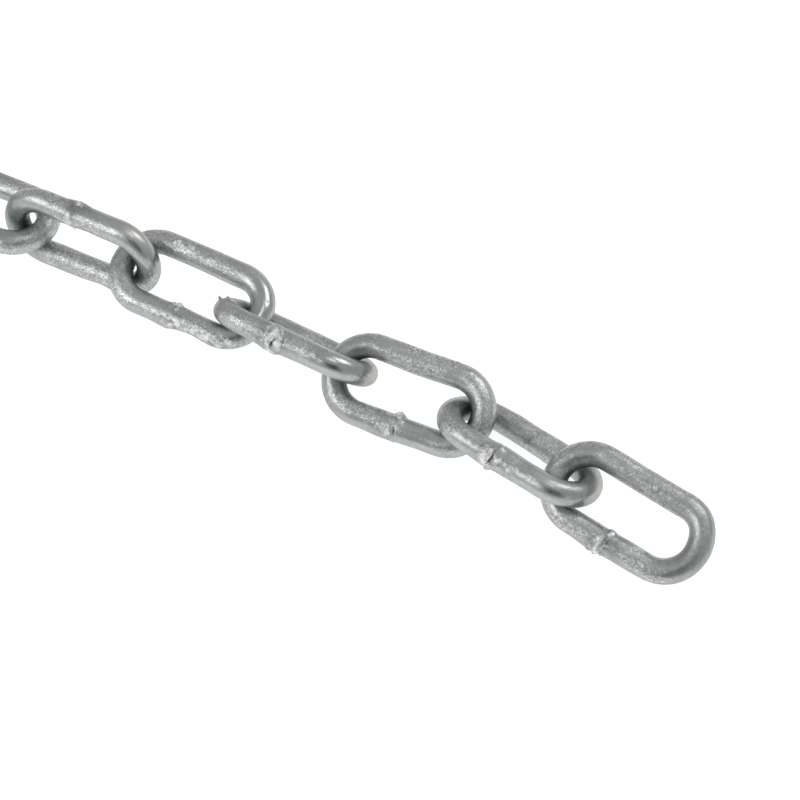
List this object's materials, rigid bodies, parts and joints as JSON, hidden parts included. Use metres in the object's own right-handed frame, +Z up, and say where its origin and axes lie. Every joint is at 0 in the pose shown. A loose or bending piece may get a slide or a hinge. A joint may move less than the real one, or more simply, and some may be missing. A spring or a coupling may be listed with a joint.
{
  "type": "galvanised steel chain length",
  "caption": "Short length of hot-dip galvanised welded steel chain, its round-wire links hooked through one another and laid in a bend on the floor.",
  "frame": {"origin": "centre of the bottom of the laid chain's bounding box, on the floor", "axes": "+X along the row of links to the free end, +Y towards the bent end, +Z up"},
  "size_m": [0.5602, 0.4618, 0.0301],
  "materials": {
    "galvanised_steel": "hot-dip galvanised, dull grey, with crusts of zinc on the welds"
  },
  "bodies": {
    "link_01": {"link_01": "galvanised_steel"},
    "link_02": {"link_02": "galvanised_steel"},
    "link_03": {"link_03": "galvanised_steel"},
    "link_04": {"link_04": "galvanised_steel"},
    "link_05": {"link_05": "galvanised_steel"},
    "link_06": {"link_06": "galvanised_steel"},
    "link_07": {"link_07": "galvanised_steel"},
    "link_08": {"link_08": "galvanised_steel"},
    "link_09": {"link_09": "galvanised_steel"},
    "link_10": {"link_10": "galvanised_steel"},
    "link_11": {"link_11": "galvanised_steel"},
    "link_12": {"link_12": "galvanised_steel"},
    "link_13": {"link_13": "galvanised_steel"},
    "link_14": {"link_14": "galvanised_steel"},
    "link_15": {"link_15": "galvanised_steel"},
    "link_16": {"link_16": "galvanised_steel"},
    "link_17": {"link_17": "galvanised_steel"},
    "link_18": {"link_18": "galvanised_steel"},
    "link_19": {"link_19": "galvanised_steel"},
    "link_20": {"link_20": "galvanised_steel"},
    "link_21": {"link_21": "galvanised_steel"},
    "link_22": {"link_22": "galvanised_steel"},
    "link_23": {"link_23": "galvanised_steel"},
    "link_24": {"link_24": "galvanised_steel"}
  },
  "joints": [
    {"name": "bend_01_02", "type": "hinge", "parent": "link_01", "child": "link_02", "pos_m": [0.23371, -0.21901, 0.01057], "axis": [0, 0, 1], "range_deg": [-21, 7]},
    {"name": "bend_02_03", "type": "hinge", "parent": "link_02", "child": "link_03", "pos_m": [0.19409, -0.19994, 0.01073], "axis": [0, 0, -1], "range_deg": [-26, 2]},
    {"name": "bend_03_04", "type": "hinge", "parent": "link_03", "child": "link_04", "pos_m": [0.15465, -0.20982, 0.01213], "axis": [0, 0, 1], "range_deg": [-45, 2]},
    {"name": "bend_04_05", "type": "hinge", "parent": "link_04", "child": "link_05", "pos_m": [0.10516, -0.20648, 0.01436], "axis": [0, 0, -1], "range_deg": [-3, 45]},
    {"name": "bend_05_06", "type": "hinge", "parent": "link_05", "child": "link_06", "pos_m": [0.07952, -0.20286, 0.01493], "axis": [0, 0, 1], "range_deg": [-45, 45]},
    {"name": "bend_06_07", "type": "hinge", "parent": "link_06", "child": "link_07", "pos_m": [0.03374, -0.20516, 0.01399], "axis": [0, 0, -1], "range_deg": [-27, 32]},
    {"name": "bend_07_08", "type": "hinge", "parent": "link_07", "child": "link_08", "pos_m": [0.00283, -0.20348, 0.01298], "axis": [0, 0, 1], "range_deg": [-29, 40]},
    {"name": "bend_08_09", "type": "hinge", "parent": "link_08", "child": "link_09", "pos_m": [-0.04223, -0.20395, 0.01234], "axis": [0, 0, -1], "range_deg": [-43, 16]},
    {"name": "bend_09_10", "type": "hinge", "parent": "link_09", "child": "link_10", "pos_m": [-0.08209, -0.20437, 0.01192], "axis": [0, 0, 1], "range_deg": [-16, 30]},
    {"name": "bend_10_11", "type": "hinge", "parent": "link_10", "child": "link_11", "pos_m": [-0.12158, -0.20603, 0.01211], "axis": [0, 0, -1], "range_deg": [-42, 12]},
    {"name": "bend_11_12", "type": "hinge", "parent": "link_11", "child": "link_12", "pos_m": [-0.15977, -0.19818, 0.01204], "axis": [0, 0, 1], "range_deg": [-12, 40]},
    {"name": "bend_12_13", "type": "hinge", "parent": "link_12", "child": "link_13", "pos_m": [-0.19508, -0.18124, 0.01207], "axis": [0, 0, -1], "range_deg": [-38, 13]},
    {"name": "bend_13_14", "type": "hinge", "parent": "link_13", "child": "link_14", "pos_m": [-0.22528, -0.1562, 0.01205], "axis": [0, 0, 1], "range_deg": [-13, 38]},
    {"name": "bend_14_15", "type": "hinge", "parent": "link_14", "child": "link_15", "pos_m": [-0.24855, -0.12459, 0.01206], "axis": [0, 0, -1], "range_deg": [-38, 13]},
    {"name": "bend_15_16", "type": "hinge", "parent": "link_15", "child": "link_16", "pos_m": [-0.26348, -0.08828, 0.01206], "axis": [0, 0, 1], "range_deg": [-13, 38]},
    {"name": "bend_16_17", "type": "hinge", "parent": "link_16", "child": "link_17", "pos_m": [-0.26918, -0.04943, 0.01206], "axis": [0, 0, -1], "range_deg": [-38, 13]},
    {"name": "bend_17_18", "type": "hinge", "parent": "link_17", "child": "link_18", "pos_m": [-0.26531, -0.01036, 0.01206], "axis": [0, 0, 1], "range_deg": [-13, 38]},
    {"name": "bend_18_19", "type": "hinge", "parent": "link_18", "child": "link_19", "pos_m": [-0.2521, 0.02662, 0.01206], "axis": [0, 0, -1], "range_deg": [-38, 13]},
    {"name": "bend_19_20", "type": "hinge", "parent": "link_19", "child": "link_20", "pos_m": [-0.22917, 0.0589, 0.01206], "axis": [0, 0, 1], "range_deg": [-22, 22]},
    {"name": "bend_20_21", "type": "hinge", "parent": "link_20", "child": "link_21", "pos_m": [-0.20594, 0.09158, 0.01206], "axis": [0, 0, -1], "range_deg": [-22, 22]},
    {"name": "bend_21_22", "type": "hinge", "parent": "link_21", "child": "link_22", "pos_m": [-0.18271, 0.12426, 0.01206], "axis": [0, 0, 1], "range_deg": [-22, 22]},
    {"name": "bend_22_23", "type": "hinge", "parent": "link_22", "child": "link_23", "pos_m": [-0.15949, 0.15694, 0.01206], "axis": [0, 0, -1], "range_deg": [-22, 22]},
    {"name": "bend_23_24", "type": "hinge", "parent": "link_23", "child": "link_24", "pos_m": [-0.13626, 0.18962, 0.01206], "axis": [0, 0, 1], "range_deg": [-22, 22]}
  ]
}
